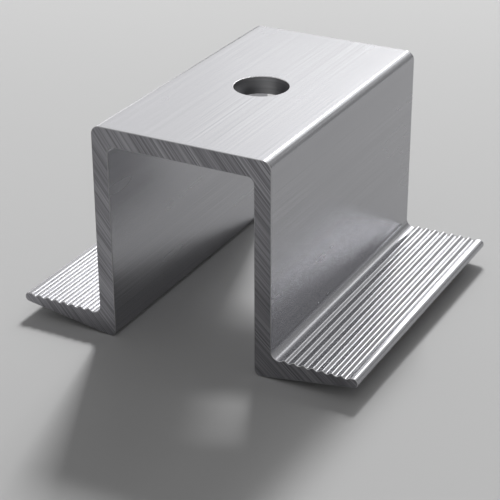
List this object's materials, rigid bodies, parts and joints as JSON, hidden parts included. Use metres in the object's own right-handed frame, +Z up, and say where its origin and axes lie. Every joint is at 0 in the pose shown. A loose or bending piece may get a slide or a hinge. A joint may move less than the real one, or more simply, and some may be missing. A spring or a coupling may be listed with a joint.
{
  "type": "solar mid clamp",
  "caption": "Hat-section aluminium mid clamp: a channel with a bolt hole through its web and ribbed wings that grip the frames of two solar modules.",
  "frame": {"origin": "on the floor under the middle of the clamp, with the clamp standing on the rounded feet of its legs", "axes": "+Z up out of the web's outer face, X across the section, Y along the extrusion"},
  "size_m": [0.0568, 0.05, 0.0343],
  "materials": {
    "mill_aluminium": "mill-finish extruded aluminium with fine die lines, sawn ends"
  },
  "bodies": {
    "root": {"clamp_body": "mill_aluminium"}
  },
  "joints": []
}
